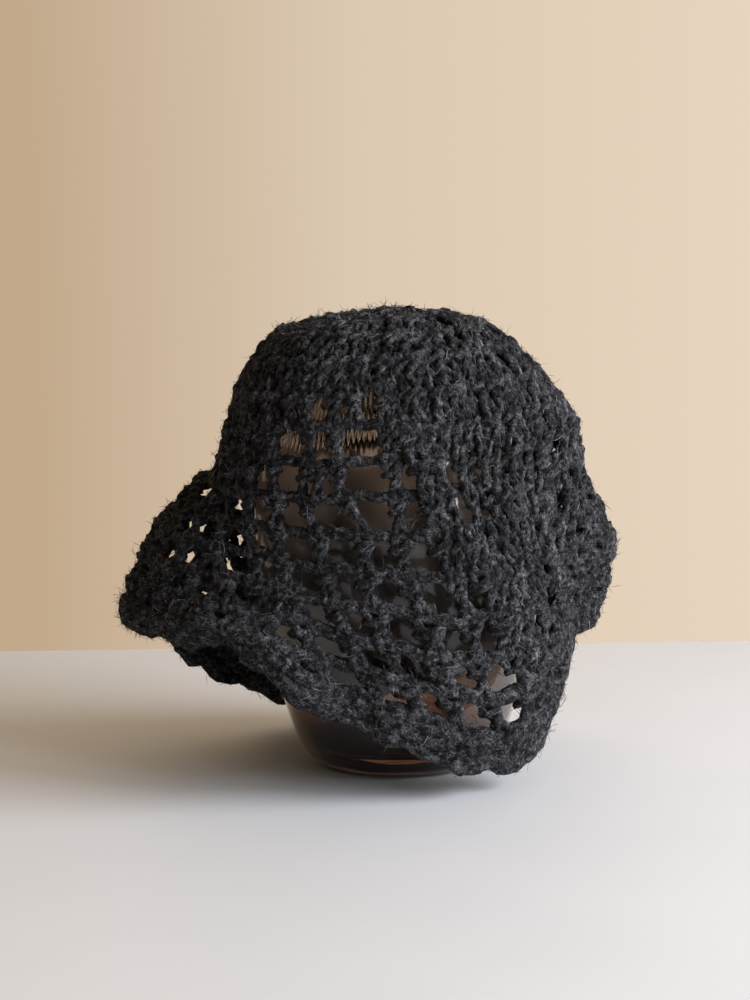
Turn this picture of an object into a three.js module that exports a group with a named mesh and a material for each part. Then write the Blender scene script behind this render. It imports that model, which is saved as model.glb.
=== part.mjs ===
// Crochet beanie with a wavy, drooping mesh brim, hung over a round smoked-glass jar.
// Millimetres, Z up. The origin is the middle of the jar's flat underside, and -Y is the front.
// Angles go round from the front (0) by the right side (90) and the back (180) to the left (270).
import * as THREE from "three";

const KNIT_WALL = 6.5; // crocheted bulky yarn, measured through a stitch
const GAP = 0.6; // free space where two pieces face each other
const AROUND = 80; // facets round the beanie

// How the beanie falls, one row for each fold or hollow. Columns:
// at: angle of the column of stitches; shoulder, side: its distance from the jar's axis at those heights;
// flare, flareZ: the belly of the fold; edge, edgeZ: its last stitch; turn: degrees that the column
// has slanted round by the edge; tuck: degrees that the last stretch turns in from hanging straight.
const FOLD_COLUMNS = ["at", "shoulder", "side", "flare", "flareZ", "edge", "edgeZ", "turn", "tuck"];
const FOLD_ROWS = [
  [0, 83, 88, 91, 80, 88, 17, 14, 0],
  [12, 83, 88, 93, 74, 86, 10, 19, 10],
  [28, 84, 88, 94, 78, 85, 24, 27, 12],
  [44, 85, 87, 92, 84, 86, 52, 28, 0],
  [62, 86, 86, 82, 95, 86, 60, 24, -10],
  [84, 87, 91, 104, 105, 99, 64, 18, 20],
  [106, 86, 93, 109, 103, 105, 64, 10, 25],
  [130, 84, 91, 99, 93, 101, 48, 3, 5],
  [150, 83, 88, 85, 84, 84, 37, 0, -10],
  [170, 83, 88, 98, 73, 101, 21, 0, 5],
  [190, 83, 88, 90, 77, 90, 16, 0, -5],
  [208, 83, 89, 101, 88, 101, 12, 2, 10],
  [224, 83, 90, 103, 108, 102, 19, 3, 0],
  [240, 83, 94, 113, 133, 109, 36, 2, 20],
  [255, 83, 94, 119, 123, 114, 49, 2, 40],
  [272, 83, 92, 127, 105, 123, 67, 2, 65],
  [290, 83, 90, 115, 103, 116, 66, 3, 55],
  [308, 83, 88, 105, 95, 111, 68, 4, 35],
  [323, 83, 87, 98, 84, 109, 56, 8, 0],
  [334, 83, 87, 92, 80, 93, 39, 9, -10],
  [346, 83, 88, 90, 80, 89, 31, 9, 0],
];
const SHOULDER_Z = 168;
const SIDE_Z = 142;
const TUCKED = 14; // length of the last stretch, which the tuck bends

// The crown's centre sits a little to the left and front of the jar's axis.
// Rings of the crown: radius, height, and the share of that shift that the ring still has.
const CROWN_CENTRE = new THREE.Vector3(-8, -10, 221);
const CROWN_RINGS = [
  { r: 22, z: 219.8, share: 0.6 },
  { r: 42, z: 216.2, share: 0.4 },
  { r: 58.5, z: 207.5, share: 0.6 },
  { r: 73, z: 189, share: 0.25 },
];

// Lengths along a column of stitches, from the crown's centre.
const COLUMN = 250; // whole column, as worked
const EASE_FROM = 120; // below this, a column stretches or gathers to meet its edge
const CROWN_END = 95;
const SIDE_END = 165;
const BRIM_END = 242;

const folds = FOLD_ROWS.map((row) => Object.fromEntries(row.map((value, k) => [FOLD_COLUMNS[k], value])));

// A column of the fold table as a smooth closed function of the angle.
function foldValue(name, degrees) {
  const count = folds.length;
  const fold = (k) => {
    const turns = Math.floor(k / count);
    const row = folds[k - turns * count];
    return { at: row.at + 360 * turns, value: row[name] };
  };
  const angle = ((degrees % 360) + 360) % 360;
  let k = count - 1;
  while (folds[k].at > angle) {
    k -= 1;
  }
  const [before, from, to, after] = [fold(k - 1), fold(k), fold(k + 1), fold(k + 2)];
  const span = to.at - from.at;
  const slopeFrom = (to.value - before.value) / (to.at - before.at);
  const slopeTo = (after.value - from.value) / (after.at - from.at);
  const t = (angle - from.at) / span;
  const ease = t * t * (3 - 2 * t);
  const tangentFrom = t * (1 - t) * (1 - t) * span * slopeFrom;
  const tangentTo = t * t * (1 - t) * span * slopeTo;
  return from.value * (1 - ease) + to.value * ease + tangentFrom - tangentTo;
}

function pointAt(degrees, radius, height, share = 0) {
  const angle = THREE.MathUtils.degToRad(degrees);
  const x = radius * Math.sin(angle) + share * CROWN_CENTRE.x;
  const y = -radius * Math.cos(angle) + share * CROWN_CENTRE.y;
  return new THREE.Vector3(x, y, height);
}

// The outside of one column of stitches, from the crown's centre to the edge.
function columnCurve(degrees) {
  const value = (name) => foldValue(name, degrees);
  const bend = THREE.MathUtils.degToRad(value("tuck"));
  const tuckR = value("edge") + TUCKED * Math.sin(bend);
  const tuckZ = value("edgeZ") + TUCKED * Math.cos(bend);
  const points = [CROWN_CENTRE.clone()];
  for (const ring of CROWN_RINGS) {
    points.push(pointAt(degrees, ring.r, ring.z, ring.share));
  }
  points.push(pointAt(degrees, value("shoulder"), SHOULDER_Z));
  points.push(pointAt(degrees, value("side"), SIDE_Z));
  points.push(pointAt(degrees + 0.5 * value("turn"), value("flare"), value("flareZ")));
  points.push(pointAt(degrees + value("turn"), tuckR, tuckZ));
  points.push(pointAt(degrees + value("turn"), value("edge"), value("edgeZ")));
  const curve = new THREE.CatmullRomCurve3(points, false, "centripetal");
  curve.arcLengthDivisions = 200;
  return curve;
}

// Points down one column, at the given lengths from the crown's centre.
function columnPoints(degrees, lengths) {
  const curve = columnCurve(degrees);
  const whole = curve.getLength();
  return lengths.map((length) => {
    const ease = Math.max(0, (length - EASE_FROM) / (COLUMN - EASE_FROM)) ** 1.3;
    const real = length + (whole - COLUMN) * ease;
    return curve.getPointAt(THREE.MathUtils.clamp(real / whole, 0, 1));
  });
}

// Outer and inner rings of the knit wall between two lengths. Normals come from neighbouring points.
function wallRings(from, to, rows) {
  const lengths = Array.from({ length: rows + 1 }, (_, j) => from + ((to - from) * j) / rows);
  const step = 1;
  const sampled = [...lengths, ...lengths.map((s) => Math.max(s - step, 0.01)), ...lengths.map((s) => s + step)];
  const turnStep = 360 / AROUND;
  const columns = Array.from({ length: AROUND }, (_, i) => columnPoints(i * turnStep, sampled));
  const outer = [];
  const inner = [];
  for (let j = 0; j <= rows; j += 1) {
    const outerRing = [];
    const innerRing = [];
    for (let i = 0; i < AROUND; i += 1) {
      const point = columns[i][j];
      const up = columns[i][rows + 1 + j];
      const down = columns[i][2 * (rows + 1) + j];
      const back = columns[(i + AROUND - 1) % AROUND][j];
      const ahead = columns[(i + 1) % AROUND][j];
      const along = new THREE.Vector3().subVectors(ahead, back);
      const fall = new THREE.Vector3().subVectors(down, up);
      const outward = new THREE.Vector3().crossVectors(fall, along).normalize();
      outerRing.push(point);
      innerRing.push(point.clone().addScaledVector(outward, -KNIT_WALL));
    }
    outer.push(outerRing);
    inner.push(innerRing);
  }
  return { outer, inner };
}

// A closed solid from rings of equal count. With poles the two ends close on a point, and without
// them the last ring joins the first: that upper rim splits its quads the way the lower rim of the
// piece above does, so the two twisted rims stay a constant gap apart.
function solidFromRings(rings, poles = null) {
  const positions = rings.flat().flatMap((p) => [p.x, p.y, p.z]);
  const count = rings[0].length;
  const index = [];
  const vertex = (j, i) => (j % rings.length) * count + (i % count);
  const bands = poles ? rings.length - 1 : rings.length;
  for (let j = 0; j < bands; j += 1) {
    const upperRim = j === rings.length - 1;
    for (let i = 0; i < count; i += 1) {
      const corners = [vertex(j, i), vertex(j + 1, i), vertex(j + 1, i + 1), vertex(j, i + 1)];
      const [a, b, c, d] = upperRim ? [corners[3], ...corners.slice(0, 3)] : corners;
      index.push(a, b, c);
      index.push(a, c, d);
    }
  }
  if (poles) {
    const first = positions.length / 3;
    positions.push(...poles[0].toArray(), ...poles[1].toArray());
    for (let i = 0; i < count; i += 1) {
      index.push(first, vertex(0, i), vertex(0, i + 1));
      index.push(first + 1, vertex(rings.length - 1, i + 1), vertex(rings.length - 1, i));
    }
  }
  const geometry = new THREE.BufferGeometry();
  geometry.setAttribute("position", new THREE.Float32BufferAttribute(positions, 3));
  geometry.setIndex(index);
  geometry.computeVertexNormals();
  return geometry;
}

function crownGeometry() {
  const start = CROWN_END / 9;
  const { outer, inner } = wallRings(start, CROWN_END - GAP / 2, 8);
  const poles = [CROWN_CENTRE, CROWN_CENTRE.clone().setZ(CROWN_CENTRE.z - KNIT_WALL)];
  return solidFromRings([...outer, ...inner.reverse()], poles);
}

function bandGeometry(from, to, rows) {
  const { outer, inner } = wallRings(from + GAP / 2, to - GAP / 2, rows);
  return solidFromRings([...outer, ...inner.reverse()]);
}

// Jar: the outside from its flat underside to the mouth, as radius and height.
const JAR_OUTSIDE = [
  [37.5, 0],
  [42, 1.5],
  [46, 5],
  [50.3, 12],
  [55, 25],
  [60.3, 44],
  [65.8, 68],
  [69.6, 92],
  [71.5, 118],
  [70, 143],
  [64.5, 165],
  [56, 184],
  [47, 197.5],
  [43, 203.8],
];
const JAR_WALL = 3;
const JAR_BASE = 10; // thickness of the glass under the hollow
const JAR_FACETS = 36;

function jarGeometry() {
  const outside = JAR_OUTSIDE.map(([r, z]) => new THREE.Vector2(r, z));
  const last = outside.length - 1;
  const inside = [];
  for (let k = last; k > 0; k -= 1) {
    const along = outside[Math.min(k + 1, last)].clone().sub(outside[k - 1]).normalize();
    const inner = new THREE.Vector2(outside[k].x - along.y * JAR_WALL, outside[k].y + along.x * JAR_WALL);
    if (inner.y > JAR_BASE + 2) {
      inside.push(inner);
    }
  }
  const mouth = outside[last];
  const lip = [];
  for (const degrees of [45, 90, 135]) {
    const angle = THREE.MathUtils.degToRad(degrees);
    const r = mouth.x - JAR_WALL / 2 + (JAR_WALL / 2) * Math.cos(angle);
    lip.push(new THREE.Vector2(r, mouth.y + (JAR_WALL / 2) * Math.sin(angle)));
  }
  inside[0] = new THREE.Vector2(mouth.x - JAR_WALL, mouth.y);
  const floor = [new THREE.Vector2(inside[inside.length - 1].x - 12, JAR_BASE), new THREE.Vector2(0, JAR_BASE)];
  const profile = [new THREE.Vector2(0, 0), ...outside, ...lip, ...inside, ...floor];
  const geometry = new THREE.LatheGeometry(profile, JAR_FACETS);
  geometry.rotateX(Math.PI / 2);
  return geometry;
}

// Black wool mixed with a little grey, dry and rough.
const wool = (shade) => new THREE.MeshStandardMaterial({ color: shade, roughness: 0.95, metalness: 0 });
// Smoked glass, dark brown-grey and smooth.
const smokedGlass = new THREE.MeshStandardMaterial({
  color: 0x2b2623,
  roughness: 0.06,
  metalness: 0,
  transparent: true,
  opacity: 0.6,
});

function namedMesh(name, geometry, material) {
  const mesh = new THREE.Mesh(geometry, material);
  mesh.name = name;
  return mesh;
}

const beanie = new THREE.Group();
beanie.add(namedMesh("crown", crownGeometry(), wool(0x1d1d20)));
beanie.add(namedMesh("mesh_side", bandGeometry(CROWN_END, SIDE_END, 4), wool(0x1b1b1e)));
beanie.add(namedMesh("brim", bandGeometry(SIDE_END, BRIM_END, 6), wool(0x19191c)));
beanie.add(namedMesh("edging", bandGeometry(BRIM_END, COLUMN, 1), wool(0x17171a)));

const group = new THREE.Group();
group.add(beanie);
group.add(namedMesh("glass_jar", jarGeometry(), smokedGlass));

export default group;
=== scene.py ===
"""Crochet beanie of bulky wool with a wavy mesh brim, hung over a round smoked-glass jar."""
import math

import bpy
import numpy as np
from mathutils import Matrix, Vector


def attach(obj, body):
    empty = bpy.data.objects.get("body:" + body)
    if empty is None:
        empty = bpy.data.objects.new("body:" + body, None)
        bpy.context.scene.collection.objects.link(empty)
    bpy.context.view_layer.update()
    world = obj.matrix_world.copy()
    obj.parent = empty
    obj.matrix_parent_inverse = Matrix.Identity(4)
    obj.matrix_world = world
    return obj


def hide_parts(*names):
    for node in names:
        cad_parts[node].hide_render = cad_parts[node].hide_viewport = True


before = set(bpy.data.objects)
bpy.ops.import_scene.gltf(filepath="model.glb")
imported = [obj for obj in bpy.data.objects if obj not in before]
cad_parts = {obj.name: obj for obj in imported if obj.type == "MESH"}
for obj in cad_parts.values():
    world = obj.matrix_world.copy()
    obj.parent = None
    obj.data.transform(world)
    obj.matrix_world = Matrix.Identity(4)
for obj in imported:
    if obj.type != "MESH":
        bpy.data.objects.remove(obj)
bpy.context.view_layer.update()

MM = 0.001
# The kinds of node that come most often.
MATH, VECTOR, RANGE = "ShaderNodeMath", "ShaderNodeVectorMath", "ShaderNodeMapRange"
NOISE, RAMP, RANDOM = "ShaderNodeTexNoise", "ShaderNodeValToRGB", "FunctionNodeRandomValue"
STORE, STORED = "GeometryNodeStoreNamedAttribute", "GeometryNodeInputNamedAttribute"
REALIZE = "GeometryNodeRealizeInstances"

# How the beanie falls, as in the part's source: one row for each fold or hollow, in mm and degrees.
# Angles go round from the front (0) by the right side (90) and the back (180) to the left (270).
FOLD_COLUMNS = ["at", "shoulder", "side", "flare", "flare_z", "edge", "edge_z", "turn", "tuck"]
FOLD_ROWS = [
    [0, 83, 88, 91, 80, 88, 17, 14, 0],
    [12, 83, 88, 93, 74, 86, 10, 19, 10],
    [28, 84, 88, 94, 78, 85, 24, 27, 12],
    [44, 85, 87, 92, 84, 86, 52, 28, 0],
    [62, 86, 86, 82, 95, 86, 60, 24, -10],
    [84, 87, 91, 104, 105, 99, 64, 18, 20],
    [106, 86, 93, 109, 103, 105, 64, 10, 25],
    [130, 84, 91, 99, 93, 101, 48, 3, 5],
    [150, 83, 88, 85, 84, 84, 37, 0, -10],
    [170, 83, 88, 98, 73, 101, 21, 0, 5],
    [190, 83, 88, 90, 77, 90, 16, 0, -5],
    [208, 83, 89, 101, 88, 101, 12, 2, 10],
    [224, 83, 90, 103, 108, 102, 19, 3, 0],
    [240, 83, 94, 113, 133, 109, 36, 2, 20],
    [255, 83, 94, 119, 123, 114, 49, 2, 40],
    [272, 83, 92, 127, 105, 123, 67, 2, 65],
    [290, 83, 90, 115, 103, 116, 66, 3, 55],
    [308, 83, 88, 105, 95, 111, 68, 4, 35],
    [323, 83, 87, 98, 84, 109, 56, 8, 0],
    [334, 83, 87, 92, 80, 93, 39, 9, -10],
    [346, 83, 88, 90, 80, 89, 31, 9, 0],
]
SHOULDER_Z = 168
SIDE_Z = 142
TUCKED = 14
CROWN_CENTRE = np.array([-8.0, -10.0, 221.0])
CROWN_RINGS = [[22, 219.8, 0.6], [42, 216.2, 0.4], [58.5, 207.5, 0.6], [73, 189, 0.25]]
COLUMN = 250.0
EASE_FROM = 120.0
EASE_POWER = 1.3
KNIT_WALL = 6.5

# The crochet, in mm. Rounds are counted outwards from the middle of the crown.
YARN = 3.3
CHAIN = 6.2
CROWN_ROUNDS = [[10.0, 12], [27.5, 24], [45.0, 36], [62.5, 48], [80.0, 60]]
# Mesh rounds: where each ends and the width of its cells where the fabric lies open.
MESH_ROUNDS = [[97.5, 13.0], [114.8, 18.0], [132.0, 19.5], [149.3, 19.8], [166.5, 19.8],
               [184.0, 18.5], [201.5, 17.5], [218.5, 16.5], [234.0, 15.5]]
# How many times closer the cells lie where the fabric is gathered: angle of the column and factor.
GATHERS = [[0, 0.92], [5, 1.05], [13, 1.8], [40, 1.9], [60, 1.75], [100, 1.7], [125, 1.4], [180, 1.25],
           [235, 1.2], [262, 0.95], [290, 1.0], [312, 1.15], [330, 0.97], [346, 0.92]]
# The edge of the gathers in front leans with the fold: mm down the column, and degrees gone round.
RIDGE_DRIFT = [[105, -9.0], [150, 0.0], [180, 7.0], [220, 18.0]]
# The gathers fall open towards the edge: down the column in mm, and the share of them that is left.
GATHERS_LEFT = [[165, 1.0], [215, 0.4]]
# A stitch leans this many mm along the round on its way down, taken on the round this far down.
LEAN = 2.8
LEAN_AT = 166.0
# The mesh settles in steps. In each, a post stays, evens out and straightens by these shares.
SETTLING_STEPS = 160
STAYS, EVENS_OUT, STRAIGHTENS = 0.35, 0.3, 0.35
# Then each post moves along at random: the usual and the largest distance.
UNEVEN, MOST_UNEVEN = 1.8, 3.4
# The share of the mesh's cells that hold a post more, round by round.
FILLED = [0.55, 0.35, 0.08, 0.06, 0.06, 0.12, 0.16, 0.18, 0.2]
FILLED_IN_GATHERS = 0.75
# Cells that stay open all the same: from and to in degrees, and from and to in mm down the column.
OPEN_CELLS = [[42, 64, 190, 222], [30, 50, 210, 236]]
# The yarn fluffs up more towards the edge: down the column in mm, and how many times thicker it is there.
# The left fold has less of it: angle of the column and share.
FLUFF = [[145, 1.0], [180, 1.3], [205, 1.55], [234, 1.65]]
FLUFF_SHARE = [[225, 1.0], [242, 0.7], [298, 0.7], [318, 1.0]]
HEM_ROUNDS = [[242.0, 110], [248.6, 80]]
# A post's girth beside its template's, how much that varies, and how much more in the gathers.
POST_GIRTH, GIRTH_VARIES, VARIES_IN_GATHERS = 1.25, 0.25, 0.9
# Posts stand out or in at random, and more so in the gathers, where the chains lie behind them.
POST_STANDS, STANDS_IN_GATHERS, CHAIN_BEHIND = 0.6, 1.5, 1.6
# Least and most: how far a chain sags between its posts, and how thick a link is.
CHAIN_SAGS, LINK_VARIES = (0.2, 1.8), (0.9, 1.12)
# Near the middle of the crown stitches spread as on a round of this length.
SMALLEST_ROUND = 40.0
# Where the crown's and the side's mesh rounds end.
CROWN_TO, SIDE_TO = 100, 170
# How many mm the left fold stands out, or in where below 0, by angle, and its share by mm down the column.
FOLD_LIFT = [[224, 0.0], [236, 3.2], [246, 1.8], [256, -1.0], [285, -1.4], [306, 0.0]]
FOLD_LIFT_FROM = [[122, 0.0], [146, 1.0]]
# Bulges and dents: centre and reach in degrees, centre and reach in mm down the column, and mm out.
BULGES = [[238, 16, 138, 14, 4.5], [270, 22, 148, 12, -4.0]]
# Small waves of the hem: how many go round, mm up and down, mm in and out, and where they start in turns.
HEM_WAVES = [[13, 1.9, 1.3, 0.1], [23, 1.3, 1.0, 0.7], [37, 0.8, 0.6, 0.35]]
HEM_WAVES_FROM = 195.0

# The yarn strays from its place in broad and in small waves of these lengths, the small ones by a share.
WANDER, BROAD_WANDER, SMALL_WANDER, SMALL_SHARE = 6.5, 30.0, 8.0, 0.4
# The yarn's lumps, the curls of its loose fibres, and the clumps that the fluff gathers in.
LUMP, CURL, CLUMP = 5.0, 2.6, 14.0
# Loose fibres: length, thickness, lift of their rings, how many to the square metre, how far they curl and
# stray from the yarn's run, and seed. Real ones are 0.03 mm thick, too fine to show: each stands for several.
FIBRES = {"frizz": [5.5, 0.18, [0.3, 0.1], 49000.0, 5.2, 0.75, 21],
          "down": [3.2, 0.21, [0.35], 74000.0, 2.6, 1.2, 34]}
# Loose fibres' materials: name, and darkest, middle and palest shade. The pale shades are painted highlights
# of fibres catching the light.
FIBRE_WOOLS = {"frizz": ["black_wool_long_loose_fibres", 0x161617, 0x404042, 0x909092],
               "down": ["black_wool_short_loose_fibres", 0x101010, 0x2E2E2F, 0x6C6C6E]}
# Pale strands drawn on the yarn as painted highlights of fibres catching the light: their spacing, width as a
# share of it, weight and seed.
HIGHLIGHT_STRANDS = [[1.7, 0.11, 0.55, 0.1], [2.7, 0.08, 0.9, 0.3], [4.2, 0.06, 1.0, 0.5]]
# Size in mm of the patches in which the painted highlights on the yarn come and go.
CLOUD = 3.0
WOOL_SHEEN = 0x9C9C9E


def linear(code):
    """The linear colour of an sRGB hex value such as 0x2b2623."""
    shares = [((code >> shift) & 255) / 255 for shift in (16, 8, 0)]
    return [s / 12.92 if s <= 0.04045 else ((s + 0.055) / 1.055) ** 2.4 for s in shares] + [1.0]


def feed(tree, node, feeds):
    """Gives inputs, by name or number, a value, an output, or another node's first output."""
    for key, value in feeds.items():
        if isinstance(value, bpy.types.Node):
            value = value.outputs[0]
        if isinstance(value, bpy.types.NodeSocket):
            tree.links.new(value, node.inputs[key])
        else:
            node.inputs[key].default_value = value


def add(tree, kind, feeds=None, stops=(), **settings):
    """A new node. stops gives a colour ramp its places and colours, in rising order."""
    node = tree.nodes.new(kind)
    for key, value in settings.items():
        setattr(node, key, value)
    for _ in stops[2:]:
        node.color_ramp.elements.new(1.0)
    for k, (at, colour) in enumerate(stops):
        node.color_ramp.elements[k].position = at
        node.color_ramp.elements[k].color = colour
    feed(tree, node, feeds or {})
    return node


# The beanie's surface

def fold_values(degrees):
    """Each column of the fold table as a smooth closed function of the angle."""
    table = np.array(FOLD_ROWS, float)
    table = np.vstack([table[-2:], table, table[:2]])
    table[:2, 0] -= 360
    table[-2:, 0] += 360
    at = table[:, 0]
    slope = np.zeros_like(table)
    slope[1:-1] = (table[2:] - table[:-2]) / (at[2:] - at[:-2])[:, None]
    k = np.clip(np.searchsorted(at, degrees, side="right") - 1, 1, len(at) - 3)
    span = (at[k + 1] - at[k])[:, None]
    t = (degrees - at[k])[:, None] / span
    ease = t * t * (3 - 2 * t)
    value = table[k] * (1 - ease) + table[k + 1] * ease
    value += t * (1 - t) ** 2 * span * slope[k] - t * t * (1 - t) * span * slope[k + 1]
    return {name: value[:, i] for i, name in enumerate(FOLD_COLUMNS)}


def column_controls(degrees):
    """The points that each column of stitches passes through, from the crown's centre to the edge."""
    v = fold_values(degrees)

    def point(angle, radius, height, share=0.0):
        a = np.radians(angle)
        x = radius * np.sin(a) + share * CROWN_CENTRE[0]
        y = -radius * np.cos(a) + share * CROWN_CENTRE[1]
        return np.stack([x, y, height + 0 * a], axis=-1)

    bend = np.radians(v["tuck"])
    lowest = degrees + v["turn"]
    points = [np.tile(CROWN_CENTRE, (len(degrees), 1))]
    points += [point(degrees, r, z, share) for r, z, share in CROWN_RINGS]
    points.append(point(degrees, v["shoulder"], SHOULDER_Z))
    points.append(point(degrees, v["side"], SIDE_Z))
    points.append(point(degrees + 0.5 * v["turn"], v["flare"], v["flare_z"]))
    points.append(point(lowest, v["edge"] + TUCKED * np.sin(bend), v["edge_z"] + TUCKED * np.cos(bend)))
    points.append(point(lowest, v["edge"], v["edge_z"]))
    return np.stack(points, axis=1)


def smooth_line(points, steps=24):
    """A centripetal curve through the points, as a dense line for each column."""
    first = 2 * points[:, :1] - points[:, 1:2]
    last = 2 * points[:, -1:] - points[:, -2:-1]
    p = np.concatenate([first, points, last], axis=1)
    u = np.linspace(0, 1, steps, endpoint=False)[None, :, None]
    line = []
    for k in range(1, p.shape[1] - 2):
        p0, p1, p2, p3 = [p[:, k + j][:, None] for j in (-1, 0, 1, 2)]
        t1, t2, t3 = np.cumsum([np.linalg.norm(b - a, axis=-1, keepdims=True) ** 0.5
                                for a, b in ((p0, p1), (p1, p2), (p2, p3))], axis=0)
        t = t1 + (t2 - t1) * u
        a1 = (t1 - t) / t1 * p0 + t / t1 * p1
        a2 = (t2 - t) / (t2 - t1) * p1 + (t - t1) / (t2 - t1) * p2
        a3 = (t3 - t) / (t3 - t2) * p2 + (t - t2) / (t3 - t2) * p3
        b1 = (t2 - t) / t2 * a1 + t / t2 * a2
        b2 = (t3 - t) / (t3 - t1) * a2 + (t - t1) / (t3 - t1) * a3
        line.append((t2 - t) / (t2 - t1) * b1 + (t - t1) / (t2 - t1) * b2)
    return np.concatenate(line + [points[:, -1:]], axis=1)


def knit_surface(around=360, down=251):
    """Points and outward normals of the middle of the knit wall, by column and by mm down the column."""
    degrees = np.arange(around) * 360.0 / around
    line = smooth_line(column_controls(degrees))
    steps = np.linalg.norm(np.diff(line, axis=1), axis=-1)
    run = np.concatenate([np.zeros((around, 1)), np.cumsum(steps, axis=1)], axis=1)
    worked = np.linspace(0, COLUMN, down)
    ease = np.clip((worked - EASE_FROM) / (COLUMN - EASE_FROM), 0, 1) ** EASE_POWER
    outside = np.empty((around, down, 3))
    for i in range(around):
        real = worked + (run[i, -1] - COLUMN) * ease
        for axis in range(3):
            outside[i, :, axis] = np.interp(real, run[i], line[i, :, axis])
    along = np.roll(outside, -1, axis=0) - np.roll(outside, 1, axis=0)
    fall = np.gradient(outside, axis=1)
    outward = np.cross(fall, along)
    outward[:, 0] = [0, 0, 1]
    outward /= np.linalg.norm(outward, axis=-1, keepdims=True)
    middle = outside - outward * KNIT_WALL / 2
    growth = np.clip((worked - HEM_WAVES_FROM) / (COLUMN - HEM_WAVES_FROM), 0, 1) ** 2
    for waves, rise, swing, start in HEM_WAVES:
        swell = 2 * np.pi * (waves * degrees / 360 + start)
        middle[..., 2] += rise * np.sin(swell)[:, None] * growth
        middle += outward * (swing * np.cos(swell)[:, None] * growth)[..., None]
    return middle, outward


def object_of(name, data):
    piece = bpy.data.objects.new(name, data)
    bpy.context.scene.collection.objects.link(piece)
    return piece


def guide_object(middle, outward):
    """The middle of the knit wall as a sheet, whose UV is turns and the share of the column."""
    around, down = middle.shape[:2]
    closed = np.vstack([middle, middle[:1]]) * MM
    normals = np.vstack([outward, outward[:1]])
    vertex = np.arange((around + 1) * down).reshape(around + 1, down)
    corners = [vertex[:-1, :-1], vertex[:-1, 1:], vertex[1:, 1:], vertex[1:, :-1]]
    faces = np.stack(corners, axis=-1).reshape(-1, 4)
    mesh = bpy.data.meshes.new("guide")
    mesh.from_pydata(closed.reshape(-1, 3).tolist(), [], faces.tolist())
    turns, share = np.meshgrid(np.arange(around + 1) / around, np.arange(down) / (down - 1), indexing="ij")
    places = np.stack([turns, share], axis=-1).reshape(-1, 2)
    layer = mesh.uv_layers.new(name="worked")
    layer.data.foreach_set("uv", places[faces.ravel()].ravel().astype(np.float32))
    store = mesh.attributes.new("outward", "FLOAT_VECTOR", "POINT")
    store.data.foreach_set("vector", normals.ravel().astype(np.float32))
    return object_of("guide", mesh)


def held_open(turns, down):
    """Whether the cells at these turns are among those that no post more is worked into."""
    angle = np.asarray(turns) % 1.0 * 360
    return np.any([(angle > low) & (angle < high) & (start < down < end)
                   for low, high, start, end in OPEN_CELLS], axis=0)


def gather_factor(turns, down):
    """How many times closer the stitches lie at these turns and this far down."""
    table = np.array(GATHERS, float)
    angle = (np.asarray(turns) * 360 + 90) % 360 - 90
    in_front = np.interp(angle, [-30, 0, 50, 80], [0, 1, 1, 0])
    angle = angle - in_front * np.interp(down, *np.array(RIDGE_DRIFT, float).T)
    left = np.interp(down, *np.array(GATHERS_LEFT, float).T)
    return 1 + (np.interp(angle, table[:, 0], table[:, 1], period=360) - 1) * left


def fold_lift(turns, down):
    """How many mm the yarn stands out of the wall's middle at these turns, or in where below 0."""
    angle = np.asarray(turns) % 1.0 * 360
    depth = np.interp(angle, *np.array(FOLD_LIFT, float).T, left=0.0)
    depth = depth * np.interp(down, *np.array(FOLD_LIFT_FROM, float).T)
    for centre, reach, level, height, rise in BULGES:
        near = np.clip(1 - ((angle - centre) / reach) ** 2, 0, 1)
        depth = depth + rise * near * max(0.0, 1 - ((down - level) / height) ** 2)
    return depth


def fluffed(turns, down):
    """How many times thicker the yarn is at these turns."""
    share = np.interp(np.asarray(turns) % 1.0 * 360, *np.array(FLUFF_SHARE, float).T)
    return 1 + (np.interp(down, *np.array(FLUFF, float).T) - 1) * share


class Rounds:
    """Where stitches sit: each round's circumference and the turns that a length along it takes.
    With gathers, a length counts as many times as its stitches lie closer."""

    def __init__(self, middle, gathered=False):
        gaps = np.linalg.norm(np.roll(middle, -1, axis=0) - middle, axis=-1)
        if gathered:
            turns = (np.arange(len(gaps)) + 0.5) / len(gaps)
            gaps = gaps * np.stack([gather_factor(turns, down) for down in range(middle.shape[1])], axis=1)
        self.run = np.vstack([np.zeros((1, middle.shape[1])), np.cumsum(gaps, axis=0)])
        self.turns = np.linspace(0, 1, len(self.run))

    def length(self, down):
        return float(self.run[-1, int(round(down))])

    def arc(self, turn, down):
        """Distance along the round, in mm, at the given turns."""
        run = self.run[:, int(round(down))]
        whole = np.floor(turn)
        return np.interp(turn - whole, self.turns, run) + whole * run[-1]

    def turn(self, arc, down):
        run = self.run[:, int(round(down))]
        whole = np.floor(arc / run[-1])
        return np.interp(arc - whole * run[-1], run, self.turns) + whole


def even_round(rounds, down, count, phase=0.0):
    return rounds.turn((np.arange(count) + phase) / count * rounds.length(down), down)


def nearest(above, below, lean=0.0):
    """For each stitch below, the number of the stitch above that it is worked into, and its turn."""
    gap = (below[:, None] - lean - above[None, :] + 0.5) % 1.0 - 0.5
    chosen = np.abs(gap).argmin(axis=1)
    return chosen, below - lean - gap[np.arange(len(below)), chosen]


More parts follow.
